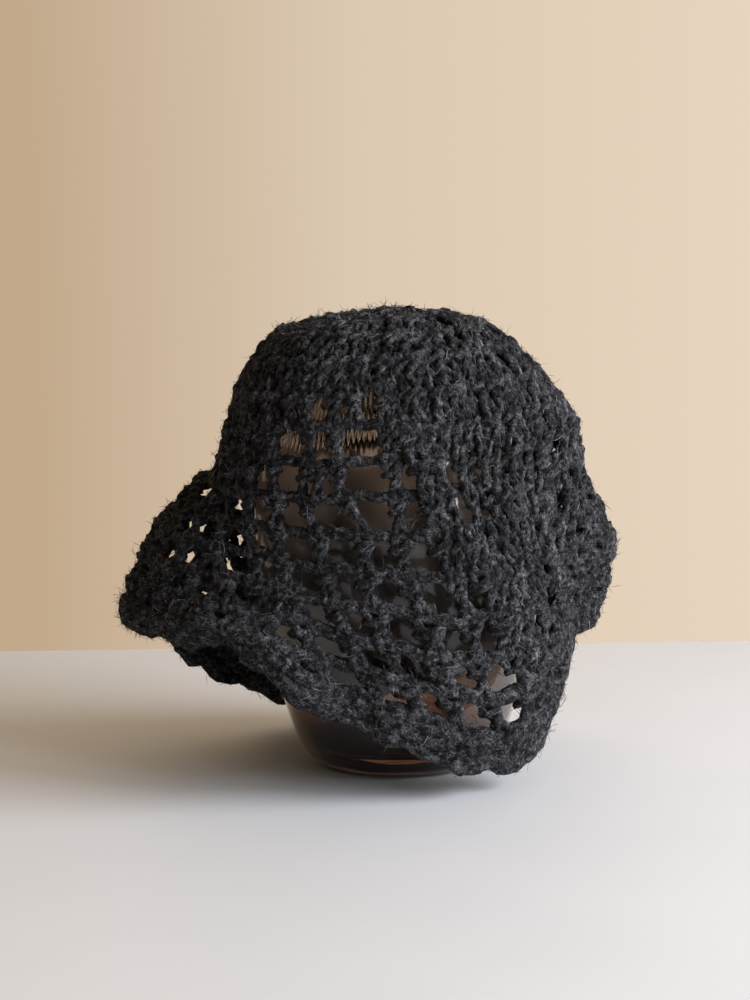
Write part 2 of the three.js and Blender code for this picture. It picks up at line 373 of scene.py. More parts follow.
def relaxed_mesh(rounds, lean, rng):
    """Turns of the mesh's posts, round by round. Posts lean alike as far as evenly spaced cells let them."""
    rows = [even_round(rounds, down, round(rounds.length(down) / cell), k * lean)
            for k, (down, cell) in enumerate(MESH_ROUNDS)]
    parents = [nearest(above, below, lean)[0] for above, below in zip(rows, rows[1:])]
    for _ in range(SETTLING_STEPS):
        for r, row in enumerate(rows):
            down = MESH_ROUNDS[r][0]
            arc = rounds.arc(row, down)
            length = rounds.length(down)
            ahead = np.append(arc[1:], arc[0] + length)
            behind = np.insert(arc[:-1], 0, arc[-1] - length)
            spaced = rounds.turn((ahead + behind) / 2, down)
            pulls = []
            if r > 0:
                pulls.append((rows[r - 1][parents[r - 1]] + lean - row + 0.5) % 1.0 - 0.5)
            if r < len(rows) - 1:
                gap = (rows[r + 1] - lean - row[parents[r]] + 0.5) % 1.0 - 0.5
                total = np.bincount(parents[r], gap, len(row))
                number = np.maximum(np.bincount(parents[r], minlength=len(row)), 1)
                pulls.append(total / number)
            straight = row + sum(pulls) / len(pulls)
            rows[r] = STAYS * row + EVENS_OUT * spaced + STRAIGHTENS * straight
    for r, (down, _) in enumerate(MESH_ROUNDS):
        uneven = np.clip(rng.normal(0.0, UNEVEN, len(rows[r])), -MOST_UNEVEN, MOST_UNEVEN)
        rows[r] = rounds.turn(rounds.arc(rows[r], down) + uneven, down)
    return rows


# Templates of stitches, in mm: x along the round, y down the column, z out of the fabric.
# Each strand is a list of points, and a closed strand ends with its first point again.

CHAIN_LINK = [
    [[-0.9, -0.3, -0.9], [1.4, 0.3, -0.9], [4.2, 0.9, 0.1], [8.0, 1.0, 0.9], [11.4, 0.5, 0.4],
     [12.3, -0.2, -0.3], [11.0, -0.8, 0.3], [7.6, -1.0, 0.9], [4.4, -0.7, 0.1], [5.3, -0.2, -0.9]],
]
POST_HEIGHT = 17.3
LONG_POST = [
    [[-1.2, -2.2, 1.3], [-2.1, 1.0, 1.2], [-2.0, 5.0, 0.2], [-0.7, 9.0, -0.6], [1.0, 13.0, 0.2],
     [1.3, 16.0, 0.6], [0.4, 18.8, -0.8]],
    [[1.5, -1.8, -1.2], [2.1, 1.6, -0.4], [1.9, 5.0, 0.6], [0.9, 9.0, 1.3], [-1.1, 13.0, 0.9],
     [-1.5, 16.0, 0.2], [-0.6, 18.6, 0.9]],
    [[-3.0, 8.2, 0.1], [-1.0, 7.2, 2.0], [1.7, 5.0, 1.9], [3.1, 3.4, 0.1], [1.8, 4.6, -1.7],
     [-1.3, 7.0, -1.8], [-3.0, 8.2, 0.1]],
]
SHORT_HEIGHT = 8.0
SHORT_POST = [
    [[-1.4, -1.6, 1.2], [-1.9, 1.2, 1.3], [-1.5, 4.6, 0.5], [-0.9, 7.2, 0.2], [-0.3, 8.6, -0.6]],
    [[1.5, -1.4, -1.0], [1.9, 1.4, 0.2], [1.5, 4.6, 0.8], [1.2, 7.2, 0.3], [0.9, 8.6, 0.6]],
    [[-2.8, 5.0, 0.2], [-0.6, 4.4, 1.9], [1.8, 3.4, 1.8], [3.0, 2.6, 0.1], [1.5, 3.2, -1.7],
     [-1.3, 4.4, -1.7], [-2.8, 5.0, 0.2]],
]


def template_object(name, strands):
    curve = bpy.data.curves.new(name, "CURVE")
    curve.dimensions = "3D"
    for strand in strands:
        closed = strand[0] == strand[-1]
        points = strand[:-1] if closed else strand
        spline = curve.splines.new("POLY")
        spline.points.add(len(points) - 1)
        for slot, (x, y, z) in zip(spline.points, points):
            slot.co = (x * MM, y * MM, z * MM, 1.0)
        spline.use_cyclic_u = closed
    return object_of(name, curve)


def places_object(name, columns):
    """Points that carry, for one stitch each, the turns and lengths that it is stretched between."""
    count = len(columns["top"])
    mesh = bpy.data.meshes.new(name)
    mesh.from_pydata([(0.0, 0.0, 0.0)] * count, [], [])
    for key, values in columns.items():
        store = mesh.attributes.new(key, "FLOAT", "POINT")
        store.data.foreach_set("value", np.asarray(values, np.float32))
    return object_of(name, mesh)


def posts_between(rounds, above, below, top_down, low_down, rng, lean=None, lift=-1.0):
    """Posts from the round above to the round below, one for each stitch below. No two are equally thick,
    and where the fabric is gathered they stand out from it."""
    tops = below if lean is None else nearest(above, below, lean)[1]
    count = len(below)
    gathered = gather_factor(below, (top_down + low_down) / 2) - 1
    varied = rng.uniform(-GIRTH_VARIES, GIRTH_VARIES, count) * (1 + VARIES_IN_GATHERS * gathered)
    girth = (POST_GIRTH + varied) * fluffed(below, low_down)
    spread = [1 / MM / max(rounds.length(down), SMALLEST_ROUND) for down in (top_down, low_down)]
    stands = rng.uniform(-1, 1, count) * (POST_STANDS + STANDS_IN_GATHERS * gathered)
    return {
        "top": tops,
        "low": below,
        "top_down": np.full(count, top_down * MM),
        "low_down": np.full(count, low_down * MM),
        "spread_top": girth * spread[0],
        "spread_low": girth * spread[1],
        "thick": girth ** 0.5,
        "lift": (stands + lift + fold_lift(below, low_down)) * MM,
    }


def chain_round(rounds, posts, down, rng, sag=0.0, each=None, thick=0.92, lift=-1.0):
    """Chain links along a round, as many from post to post as their length fits. The chain sags between
    posts, and lies behind them where the fabric is gathered."""
    order = np.append(posts, posts[0] + 1.0)
    widths = np.diff(rounds.arc(order, down))
    links = np.full(len(posts), each) if each else np.maximum(1, np.round(widths / CHAIN)).astype(int)
    share = np.concatenate([np.arange(n) / n for n in links])
    starts = np.repeat(posts, links) + np.repeat(np.diff(order), links) * share
    pitch = np.repeat(np.diff(order) / links, links)
    hang = np.repeat(rng.uniform(*CHAIN_SAGS, len(posts)) * sag, links)
    hang = hang * np.sin(np.pi * (share + np.repeat(0.5 / links, links)))
    gathered = gather_factor(starts, down) - 1
    return {
        "top": starts,
        "low": starts,
        "top_down": (down + hang) * MM,
        "low_down": (down + hang + 1.0) * MM,
        "spread_top": pitch / (CHAIN * MM),
        "spread_low": pitch / (CHAIN * MM),
        "thick": rng.uniform(*LINK_VARIES, len(starts)) * thick * fluffed(starts, down),
        "lift": (lift - CHAIN_BEHIND * gathered + fold_lift(starts, down)) * MM,
    }


def joined(tables):
    return {key: np.concatenate([table[key] for table in tables]) for key in tables[0]}


def new_tree(name, inputs):
    tree = bpy.data.node_groups.new(name, "GeometryNodeTree")
    tree.interface.new_socket("Geometry", in_out="OUTPUT", socket_type="NodeSocketGeometry")
    for label, kind in [("Geometry", "Geometry"), *inputs]:
        tree.interface.new_socket(label, in_out="INPUT", socket_type=f"NodeSocket{kind}")
    return tree


def random_drift(tree, place, size, detail, amount):
    """An offset that changes smoothly over about this size, by up to half the amount each way."""
    noise = add(tree, NOISE, {"Vector": place, "Scale": 1 / size, "Detail": detail})
    centred = add(tree, VECTOR, {0: noise.outputs["Color"], 1: (0.5, 0.5, 0.5)},
                  operation="SUBTRACT")
    return add(tree, VECTOR, {0: centred, "Scale": amount}, operation="SCALE")


def stitch_tree():
    """Puts a template stitch at each place, bends it onto the guide sheet and draws its yarn."""
    tree = new_tree("crochet_stitches", [
        ("Template", "Object"), ("Guide", "Object"), ("Height", "Float"),
        ("Points", "Int"), ("Sides", "Int"), ("Yarn radius", "Float"),
        ("Wander", "Float"), ("Relief", "Float"), ("Wool", "Material")])
    given = add(tree, "NodeGroupInput").outputs
    position = add(tree, "GeometryNodeInputPosition")
    stored = {name: add(tree, STORED, {"Name": name}, data_type="FLOAT") for name in (
        "top", "low", "top_down", "low_down", "spread_top", "spread_low", "thick", "lift")}
    for name in ("stitch", "worked", "outward"):
        stored[name] = add(tree, STORED, {"Name": name}, data_type="FLOAT_VECTOR")

    template = add(tree, "GeometryNodeObjectInfo", {"Object": given["Template"]}).outputs["Geometry"]
    smooth = add(tree, "GeometryNodeCurveSplineType", {"Curve": template}, spline_type="CATMULL_ROM")
    fine = add(tree, "GeometryNodeResampleCurve", {"Curve": smooth, "Count": given["Points"]})
    stitch = add(tree, STORE, {"Geometry": fine, "Name": "stitch", "Value": position},
                 data_type="FLOAT_VECTOR", domain="POINT")
    spots = add(tree, "GeometryNodeInstanceOnPoints", {"Points": given["Geometry"], "Instance": stitch})
    loose = add(tree, REALIZE, {"Geometry": spots})

    # A stitch is stretched from its turns and depth at the round above to those at the round below.
    x, y, z = add(tree, "ShaderNodeSeparateXYZ", {0: stored["stitch"]}).outputs
    share = add(tree, MATH, {0: y, 1: given["Height"]}, operation="DIVIDE")
    turn, down, spread = [
        add(tree, "ShaderNodeMix", {0: share, 2: stored[above], 3: stored[below]}, clamp_factor=False)
        for above, below in (("top", "low"), ("top_down", "low_down"), ("spread_top", "spread_low"))]
    across = add(tree, MATH, {0: x, 1: spread}, operation="MULTIPLY")
    turns = add(tree, MATH, {0: turn, 1: across}, operation="ADD")
    turns_kept = add(tree, MATH, {0: turns}, operation="FRACT")
    down_share = add(tree, MATH, {0: down, 1: COLUMN * MM}, operation="DIVIDE")
    down_kept = add(tree, "ShaderNodeClamp", {0: down_share, 1: 0.0005, 2: 0.9995})
    where = add(tree, "ShaderNodeCombineXYZ", {0: turns_kept, 1: down_kept})
    sheet = add(tree, "GeometryNodeObjectInfo", {"Object": given["Guide"]}).outputs["Geometry"]
    outward, middle = [
        add(tree, "GeometryNodeSampleUVSurface", {"Mesh": sheet, "Value": value, "UV Map": stored["worked"],
                                                  "Sample UV": where}, data_type="FLOAT_VECTOR")
        for value in (stored["outward"], position)]
    relief = add(tree, MATH, {0: z, 1: given["Relief"]}, operation="MULTIPLY")
    height = add(tree, MATH, {0: relief, 1: stored["thick"], 2: stored["lift"]},
                 operation="MULTIPLY_ADD")
    lift = add(tree, VECTOR, {0: outward, "Scale": height}, operation="SCALE")
    onto = add(tree, VECTOR, {0: middle, 1: lift})

    small = add(tree, MATH, {0: given["Wander"], 1: SMALL_SHARE}, operation="MULTIPLY")
    offset = add(tree, VECTOR, {
        0: random_drift(tree, onto, BROAD_WANDER * MM, 1.0, given["Wander"]),
        1: random_drift(tree, onto, SMALL_WANDER * MM, 1.0, small)})
    kept = add(tree, "GeometryNodeSetPosition", {"Geometry": loose, "Position": onto, "Offset": offset})
    run = add(tree, "GeometryNodeInputTangent")
    tone = add(tree, RANDOM, {"Seed": 5}, data_type="FLOAT").outputs[1]
    for name, value, kind, domain in (
            ("outward", outward, "FLOAT_VECTOR", "POINT"), ("run", run, "FLOAT_VECTOR", "POINT"),
            ("tone", tone, "FLOAT", "CURVE")):
        kept = add(tree, STORE, {"Geometry": kept, "Name": name, "Value": value},
                   data_type=kind, domain=domain)

    lumps = add(tree, NOISE, {"Vector": position, "Scale": 1 / (LUMP * MM), "Detail": 2.0})
    swell = add(tree, RANGE, {0: lumps, 1: 0.3, 2: 0.7, 3: 0.75, 4: 1.3})
    uneven = add(tree, MATH, {0: swell, 1: stored["thick"]}, operation="MULTIPLY")
    radius = add(tree, MATH, {0: uneven, 1: given["Yarn radius"]}, operation="MULTIPLY")
    ring = add(tree, "GeometryNodeCurvePrimitiveCircle", {"Resolution": given["Sides"], "Radius": 1.0})
    yarn = add(tree, "GeometryNodeCurveToMesh",
               {"Curve": kept, "Profile Curve": ring, "Scale": radius, "Fill Caps": True})
    plain = add(tree, "GeometryNodeSetShadeSmooth", {"Geometry": yarn})
    whole = add(tree, REALIZE, {"Geometry": plain})
    coloured = add(tree, "GeometryNodeSetMaterial", {"Geometry": whole, "Material": given["Wool"]})
    add(tree, "NodeGroupOutput", {0: coloured})
    return tree


def grown(name, host, tree, values):
    """The host with the tree run on it, as a plain mesh. The host is then removed."""
    modifier = host.modifiers.new(tree.name, "NODES")
    modifier.node_group = tree
    for item in tree.interface.items_tree:
        if item.in_out == "INPUT" and item.name in values:
            modifier[item.identifier] = values[item.name]
    bpy.context.view_layer.update()
    evaluated = host.evaluated_get(bpy.context.evaluated_depsgraph_get())
    mesh = bpy.data.meshes.new_from_object(evaluated, preserve_all_data_layers=True,
                                           depsgraph=bpy.context.evaluated_depsgraph_get())
    mesh.name = name
    host.modifiers.remove(modifier)
    bpy.data.objects.remove(host)
    return mesh


def fibre_object(name, length, thickness, lifts):
    """One loose fibre along X: a slim closed spindle of three sides, with a ring for each lift."""
    radius = thickness / 2
    points = [(0.0, 0.0, -0.2 * MM)]
    for ring, lift in enumerate(lifts, 1):
        along = ring / (len(lifts) + 1) * length * MM
        for k in range(3):
            angle = 2 * math.pi * k / 3
            points.append((along, radius * MM * math.cos(angle), (lift + radius * math.sin(angle)) * MM))
    points.append((length * MM, 0.0, -0.5 * MM))
    faces = []
    for k in range(3):
        a, b = 1 + k, 1 + (k + 1) % 3
        faces.append((0, b, a))
        for ring in range(len(lifts) - 1):
            faces.append((a + 3 * ring, b + 3 * ring, b + 3 * ring + 3, a + 3 * ring + 3))
        top = 3 * (len(lifts) - 1)
        faces.append((a + top, b + top, len(points) - 1))
    mesh = bpy.data.meshes.new(name)
    mesh.from_pydata(points, [], faces)
    free = mesh.attributes.new("free", "FLOAT", "POINT")
    free.data.foreach_set("value", np.array([p[0] / (length * MM) for p in points], np.float32))
    return object_of(name, mesh)


def fuzz_tree():
    """Scatters loose fibres over the yarn. They lie along it, more or less, and each curls its own way."""
    tree = new_tree("wool_fuzz", [
        ("Fibre", "Object"), ("Density", "Float"), ("Seed", "Int"),
        ("Curl", "Float"), ("Stray", "Float"), ("Wool", "Material")])
    given = add(tree, "NodeGroupInput").outputs
    stored = {}
    for name, kind in (("outward", "FLOAT_VECTOR"), ("run", "FLOAT_VECTOR"), ("tone", "FLOAT"),
                       ("free", "FLOAT")):
        stored[name] = add(tree, STORED, {"Name": name}, data_type=kind)

    # Most of them grow on the side of the yarn that faces out, and in clumps.
    normal = add(tree, "GeometryNodeInputNormal")
    facing = add(tree, VECTOR, {0: normal, 1: stored["outward"]}, operation="DOT_PRODUCT")
    wanted = add(tree, RANGE, {0: facing.outputs["Value"], 1: -0.5, 2: 0.6, 3: 0.1, 4: 1.0})
    clumps = add(tree, NOISE, {"Scale": 1 / (CLUMP * MM), "Detail": 1.0})
    clumpy = add(tree, RANGE, {0: clumps, 1: 0.36, 2: 0.64, 3: 0.45, 4: 1.5})
    share = add(tree, MATH, {0: wanted, 1: clumpy}, operation="MULTIPLY")
    density = add(tree, MATH, {0: share, 1: given["Density"]}, operation="MULTIPLY")
    spots = add(tree, "GeometryNodeDistributePointsOnFaces", {
        "Mesh": given["Geometry"], "Density": density, "Seed": given["Seed"]}, distribute_method="RANDOM")
    skin = spots.outputs["Normal"]

    # A fibre runs along the yarn one way or the other, and strays to the side and off the surface.
    any_way = add(tree, RANDOM, {0: (-1.0, -1.0, -1.0), 1: (1.0, 1.0, 1.0), "Seed": 11},
                  data_type="FLOAT_VECTOR")
    sideways = add(tree, VECTOR, {0: any_way, 1: skin}, operation="CROSS_PRODUCT")
    side = add(tree, VECTOR, {0: sideways, "Scale": given["Stray"]}, operation="SCALE")
    rise = add(tree, RANDOM, {2: -0.25, 3: 0.15, "Seed": 12}, data_type="FLOAT").outputs[1]
    up = add(tree, VECTOR, {0: skin, "Scale": rise}, operation="SCALE")
    way = add(tree, RANDOM, {2: -1.0, 3: 1.0, "Seed": 13}, data_type="FLOAT").outputs[1]
    sign = add(tree, MATH, {0: way}, operation="SIGN")
    run = add(tree, VECTOR, {0: stored["run"], "Scale": sign}, operation="SCALE")
    lean = add(tree, VECTOR, {0: side, 1: up})
    heading = add(tree, VECTOR, {0: run, 1: lean})
    turned = add(tree, "FunctionNodeAxesToRotation", {"Primary Axis": heading, "Secondary Axis": skin},
                 primary_axis="X", secondary_axis="Z")
    size = add(tree, RANDOM, {0: (0.5, 0.7, 0.7), 1: (1.6, 1.3, 1.3), "Seed": 14},
               data_type="FLOAT_VECTOR")
    fibre = add(tree, "GeometryNodeObjectInfo", {"Object": given["Fibre"]}).outputs["Geometry"]
    strewn = add(tree, "GeometryNodeInstanceOnPoints",
                 {"Points": spots, "Instance": fibre, "Rotation": turned, "Scale": size})
    tone = add(tree, RANDOM, {"Seed": 15}, data_type="FLOAT").outputs[1]
    toned = add(tree, STORE, {"Geometry": strewn, "Name": "tone", "Value": tone},
                data_type="FLOAT", domain="INSTANCE")
    loose = add(tree, REALIZE, {"Geometry": toned})

    # It curls more and more towards its free end, and its tone moves it to a place of its own in the noise.
    position = add(tree, "GeometryNodeInputPosition")
    apart = add(tree, VECTOR, {0: (1.0, 1.0, 1.0), "Scale": stored["tone"]}, operation="SCALE")
    seat = add(tree, VECTOR, {0: position, 1: apart})
    reach = add(tree, MATH, {0: stored["free"], 1: given["Curl"]}, operation="MULTIPLY")
    offset = random_drift(tree, seat, CURL * MM, 0.0, reach)
    curled = add(tree, "GeometryNodeSetPosition", {"Geometry": loose, "Offset": offset})
    whole = add(tree, REALIZE, {"Geometry": curled})
    coloured = add(tree, "GeometryNodeSetMaterial", {"Geometry": whole, "Material": given["Wool"]})
    add(tree, "NodeGroupOutput", {0: coloured})
    return tree


# Materials

def new_material(name, surface):
    """A material with its tree and shader. surface gives the sockets that are the same all over."""
    material = bpy.data.materials.new(name)
    material.use_nodes = True
    shader = material.node_tree.nodes["Principled BSDF"]
    feed(material.node_tree, shader, surface)
    return material, material.node_tree, shader


def line_pattern(tree, place, size, width, seed):
    """Thin curly lines, about size apart and as wide as this share of it: 1 on a line, 0 off it."""
    moved = add(tree, VECTOR, {0: place, 1: (seed, 2.0 * seed, 0.0)})
    noise = add(tree, NOISE,
                {"Vector": moved, "Scale": 1 / size, "Detail": 1.0, "Distortion": 0.8})
    off = add(tree, MATH, {0: noise, 1: 0.5}, operation="SUBTRACT")
    far = add(tree, MATH, {0: off}, operation="ABSOLUTE")
    return add(tree, RANGE, {0: far, 1: 0.0, 2: width, 3: 1.0, 4: 0.0})


def wool_yarn():
    """Black wool roving, loosely spun and felted: matt and nearly black. Pale curly lines drawn on it are
    painted highlights of fibre ends catching the light.
    """
    material, tree, shader = new_material("black_wool_loosely_spun", {
        "Roughness": 0.92, "Specular IOR Level": 0.06, "Sheen Weight": 0.1, "Sheen Roughness": 0.5,
        "Sheen Tint": linear(WOOL_SHEEN)})
    place = add(tree, "ShaderNodeTexCoord").outputs["Object"]
    # Fibres are about 0.03 mm thick, too fine to show, so coarser strands are drawn instead, pale grey as
    # painted highlights.
    tangle = 0.0
    for size, width, weight, seed in HIGHLIGHT_STRANDS:
        lines = line_pattern(tree, place, size * MM, width, seed)
        weighed = add(tree, MATH, {0: lines, 1: weight}, operation="MULTIPLY")
        tangle = add(tree, MATH, {0: tangle, 1: weighed}, operation="MAXIMUM")
    clouds = add(tree, NOISE, {"Vector": place, "Scale": 1 / (CLOUD * MM), "Detail": 2.0})
    patchy = add(tree, RANGE, {0: clouds, 1: 0.4, 2: 0.6, 3: 0.06, 4: 1.0})
    lit = add(tree, MATH, {0: tangle, 1: patchy}, operation="MULTIPLY")
    # The painted highlights come and go in clumps, as the loose fibres do, and are stronger on some strands
    # than on others at random.
    clumps = add(tree, NOISE, {"Vector": place, "Scale": 1 / (CLUMP * MM), "Detail": 1.0})
    clumpy = add(tree, RANGE, {0: clumps, 1: 0.36, 2: 0.64, 3: 0.55, 4: 1.1})
    strand_tone = add(tree, "ShaderNodeAttribute", attribute_name="tone").outputs["Fac"]
    uneven = add(tree, RANGE, {0: strand_tone, 1: 0.0, 2: 1.0, 3: 0.75, 4: 1.15})
    both = add(tree, MATH, {0: clumpy, 1: uneven}, operation="MULTIPLY")
    light = add(tree, MATH, {0: lit, 1: both}, operation="MULTIPLY")
    # The colour runs from the yarn's near-black to the pale grey of the painted highlights.
    shade = add(tree, RAMP, {0: light}, [(0.0, linear(0x181819)), (1.0, linear(0x78787B))])
    bump = add(tree, "ShaderNodeBump", {"Height": tangle, "Distance": 0.7 * MM, "Strength": 0.9})
    feed(tree, shader, {"Base Color": shade, "Normal": bump})
    return material


def wool_fibre(name, *shades):
    """Loose fibres of the black wool, a little glossier than the felted yarn. Each has its own shade at
    random, and the pale ones are painted highlights of fibres catching the light."""
    material, tree, shader = new_material(name, {
        "Roughness": 0.7, "Specular IOR Level": 0.4, "Sheen Weight": 0.15, "Sheen Roughness": 0.4,
        "Sheen Tint": linear(WOOL_SHEEN)})
    tone = add(tree, "ShaderNodeAttribute", attribute_name="tone").outputs["Fac"]
    # Shades by the fibre's random tone, from dark to the pale of the painted highlights.
    stops = [(at, linear(shade)) for at, shade in zip((0.2, 0.7, 1.0), shades)]
    feed(tree, shader, {"Base Color": add(tree, RAMP, {0: tone}, stops)})
    return material


# Jar, in mm: outside from the foot to the mouth as radius and height, wall and base.

JAR_OUTSIDE = [[37.5, 0], [42, 1.5], [46, 5], [50.3, 12], [55, 25], [60.3, 44], [65.8, 68], [69.6, 92],
               [71.5, 118], [70, 143], [64.5, 165], [56, 184], [47, 197.5], [43, 203.8]]
JAR_WALL = 3.0
JAR_BASE = 10.0
# Fine ribs round the shoulder: how many, and the heights between which they come up.
GLASS_RIBS = 160
RIBS_FROM, RIBS_FULL = 154, 176
# Tint and roughness by share of this height: dark clear foot, satin belly, clearer ribbed shoulder. The blue
# cast of the belly's grey is a painted reflection of daylight.
GLASS_HEIGHT = 210
GLASS_TINTS = [(0.02, 0x3C302C), (0.06, 0x7A5648), (0.1, 0xA68470), (0.15, 0xB0A096), (0.2, 0xA29C98),
               (0.3, 0x9A9492), (0.45, 0x9496A0), (0.62, 0xBEB8B8), (0.9, 0xD6D0CC)]
GLASS_SATIN = [(0.22, 0.03), (0.3, 0.3), (0.7, 0.3), (0.76, 0.05)]


def smoked_glass():
    """Smoked soda-lime glass, blown in a mould that ribs its shoulder: grey in the belly, with a blue cast
    that is a painted reflection of daylight, red-brown and darker in the foot. The body is slightly satin,
    which blurs what is behind, under a polished surface.
    Real glass bends light more, with an IOR of 1.52."""
    material, tree, shader = new_material("smoked_soda_lime_glass", {
        "IOR": 1.3, "Transmission Weight": 1.0, "Coat Weight": 1.0, "Coat Roughness": 0.03, "Coat IOR": 1.4})
    place = add(tree, "ShaderNodeTexCoord").outputs["Object"]
    x, y, z = add(tree, "ShaderNodeSeparateXYZ", {0: place}).outputs
    up = add(tree, RANGE, {0: z, 1: 0.0, 2: GLASS_HEIGHT * MM, 3: 0.0, 4: 1.0})
    # The glass's smoke tint by height; the blue cast in the belly is a painted reflection of daylight.
    smoke_and_reflection = add(tree, RAMP, {0: up}, [(at, linear(tint)) for at, tint in GLASS_TINTS])
    # Where the eye looks along the wall it looks through more glass, so the smoke is deeper there.
    along_wall = add(tree, "ShaderNodeLayerWeight", {"Blend": 0.5}).outputs["Facing"]
    depth = add(tree, RANGE, {0: along_wall, 1: 0.4, 2: 0.88, 3: 0.0, 4: 1.0})
    deeper = add(tree, RAMP, {0: depth}, [(0.0, linear(0xFFFFFF)), (1.0, linear(0x54301F))])
    tint = add(tree, "ShaderNodeMix", {0: 1.0, 6: smoke_and_reflection, 7: deeper}, data_type="RGBA", blend_type="MULTIPLY")
    satin = add(tree, RAMP, {0: up}, [(at, [rough] * 3 + [1.0]) for at, rough in GLASS_SATIN])
    # The ribs are 2 to 3 mm apart, too fine for faces, so they are bump, over broad waves of the blown wall.
    angle = add(tree, MATH, {0: y, 1: x}, operation="ARCTAN2")
    wave = add(tree, MATH, {0: angle, 1: float(GLASS_RIBS)}, operation="MULTIPLY")
    ribs = add(tree, MATH, {0: wave}, operation="SINE")
    fade = add(tree, RANGE, {0: z, 1: RIBS_FROM * MM, 2: RIBS_FULL * MM, 3: 0.0, 4: 1.0})
    ribbed = add(tree, MATH, {0: ribs, 1: fade}, operation="MULTIPLY")
    waves = add(tree, NOISE, {"Vector": place, "Scale": 1 / (30 * MM), "Detail": 1.0})
    both = add(tree, MATH, {0: waves, 1: 5.0, 2: ribbed}, operation="MULTIPLY_ADD")
    bump = add(tree, "ShaderNodeBump", {"Height": both, "Distance": 0.4 * MM, "Strength": 0.7})
    feed(tree, shader, {"Base Color": tint.outputs[2], "Roughness": satin, "Normal": bump,
                        "Coat Normal": bump})
    return material


def jar_mesh(facets=128, steps=5):
    outside = smooth_line(np.array([[[r, 0.0, z] for r, z in JAR_OUTSIDE]], float), steps)[0][:, [0, 2]]
    along = np.gradient(outside, axis=0)
    along /= np.linalg.norm(along, axis=1, keepdims=True)
    inside = outside + np.stack([-along[:, 1], along[:, 0]], axis=1) * JAR_WALL
    inside = inside[inside[:, 1] > JAR_BASE + 2][::-1]
    mouth = outside[-1]
    angles = np.radians(np.linspace(25, 155, 6))
    lip = np.stack([mouth[0] - JAR_WALL / 2 + JAR_WALL / 2 * np.cos(angles),
                    mouth[1] + JAR_WALL / 2 * np.sin(angles)], axis=1)
    inside[0] = [mouth[0] - JAR_WALL, mouth[1]]
    floor = np.array([[inside[-1, 0] - 4, JAR_BASE + 0.5], [inside[-1, 0] - 12, JAR_BASE]])
    profile = np.vstack([outside, lip, inside, floor])
    angles = np.arange(facets) * 2 * math.pi / facets
    rings = np.stack([profile[:, None, 0] * np.sin(angles), -profile[:, None, 0] * np.cos(angles),
                      np.repeat(profile[:, 1:2], facets, axis=1)], axis=-1)
    points = rings.reshape(-1, 3).tolist() + [[0, 0, 0], [0, 0, JAR_BASE]]
    count = len(profile)
    faces = []
    for j in range(count - 1):
        for i in range(facets):
            k = (i + 1) % facets
            faces.append((j * facets + i, j * facets + k, (j + 1) * facets + k, (j + 1) * facets + i))
    under, over = count * facets, count * facets + 1
    for i in range(facets):
        k = (i + 1) % facets
        faces.append((under, k, i))
        faces.append((over, (count - 1) * facets + i, (count - 1) * facets + k))
    mesh = bpy.data.meshes.new("jar_glass")
    mesh.from_pydata((np.array(points) * MM).tolist(), [], faces)
    mesh.polygons.foreach_set("use_smooth", [True] * len(faces))
    return mesh


# Pieces

def worked_stitches(middle):
    """Where every stitch goes: tables of chain links, long posts and short posts for each piece."""
    rounds = Rounds(middle)
    rng = np.random.default_rng(7)
    lean = LEAN / rounds.length(LEAN_AT)
    crown = [even_round(rounds, down, count, 0.5) for down, count in CROWN_ROUNDS]
    mesh_rows = relaxed_mesh(Rounds(middle, gathered=True), lean, rng)
    hem = [even_round(rounds, down, count) for down, count in HEM_ROUNDS]

    crown_downs = [down for down, _ in CROWN_ROUNDS]
    links = {"crown": [], "side": [], "brim": [], "edging": []}
    longs = {"crown": [], "side": [], "brim": []}
    shorts = {"crown": [], "brim": [], "edging": []}
    shorts["crown"].append(posts_between(rounds, crown[0], crown[0], 3.0, crown_downs[0], rng, lift=-1.2))
    for k, down in enumerate(crown_downs):
        links["crown"].append(chain_round(rounds, crown[k], down, rng, each=1, lift=-2.0))
        if k:
            longs["crown"].append(posts_between(rounds, crown[k - 1], crown[k], crown_downs[k - 1], down, rng,
                                                lean=0.0, lift=-1.2))
    above, above_down = crown[-1], crown_downs[-1]
    for row, (down, _), filled in zip(mesh_rows, MESH_ROUNDS, FILLED):
        part = "crown" if down < CROWN_TO else "side" if down < SIDE_TO else "brim"
        longs[part].append(posts_between(rounds, above, row, above_down, down, rng, lean))
        between = (row + np.append(row[1:], row[0] + 1)) / 2
        wanted = filled + FILLED_IN_GATHERS * (gather_factor(between, down) - 1)
        extra = between[(rng.random(len(row)) < wanted) & ~held_open(between, down)]
        longs[part].append(posts_between(rounds, extra - lean, extra, above_down, down, rng, lean))
        links[part].append(chain_round(rounds, row, down, rng, sag=0.9))
        above, above_down = row, down
    for part, row, (down, count) in zip(("brim", "edging"), hem, HEM_ROUNDS):
        shorts[part].append(posts_between(rounds, above, row, above_down, down, rng))
        links[part].append(chain_round(rounds, row, down, rng, each=1, thick=1.0))
        above, above_down = row, down
    return {"links": links, "long_posts": longs, "short_posts": shorts}


